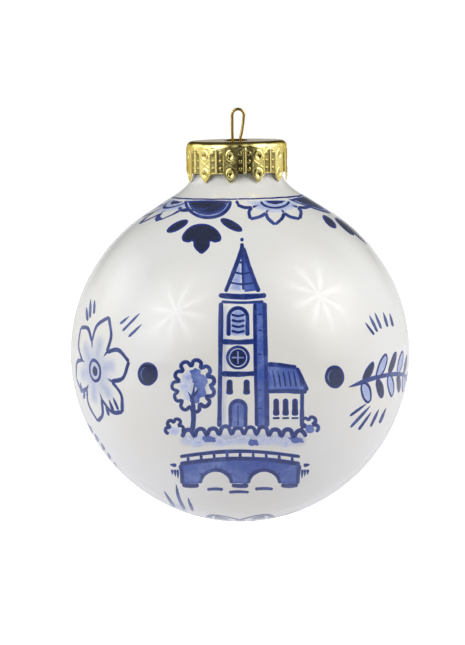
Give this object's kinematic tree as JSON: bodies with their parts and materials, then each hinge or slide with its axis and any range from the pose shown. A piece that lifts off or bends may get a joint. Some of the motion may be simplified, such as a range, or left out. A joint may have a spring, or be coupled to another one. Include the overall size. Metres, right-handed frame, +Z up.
{
  "type": "souvenir christmas ornament",
  "caption": "Hollow glazed ceramic ball ornament with painted blue decoration, a toothed gold crown cap and a sprung wire hanging loop.",
  "frame": {"origin": "on the ball's axis, level with the inside of the top of the wire loop, where a ribbon or hook carries the ornament", "axes": "+Z up along the ball's axis, from the ball to the hanging loop; -Y is the decorated front with the tower, and +X is to its right as seen from the front"},
  "size_m": [0.08, 0.08, 0.0977],
  "materials": {
    "white_glaze": "gloss",
    "cap_gold": "polished",
    "wire_gold": "satin",
    "blue_paint": "gloss"
  },
  "bodies": {
    "hanger": {"wire_hanger": "wire_gold"},
    "cap": {"crown_cap": "cap_gold"},
    "ball": {"ceramic_ball": "white_glaze"}
  },
  "joints": [
    {"name": "swivel", "type": "hinge", "parent": "hanger", "child": "cap", "pos_m": [0, 0, -0.007], "axis": [0, 0, 1], "continuous": true},
    {"name": "ball_pull_off", "type": "slide", "parent": "cap", "child": "ball", "axis": [0, 0, -1], "range_m": [0, 0.032]}
  ]
}
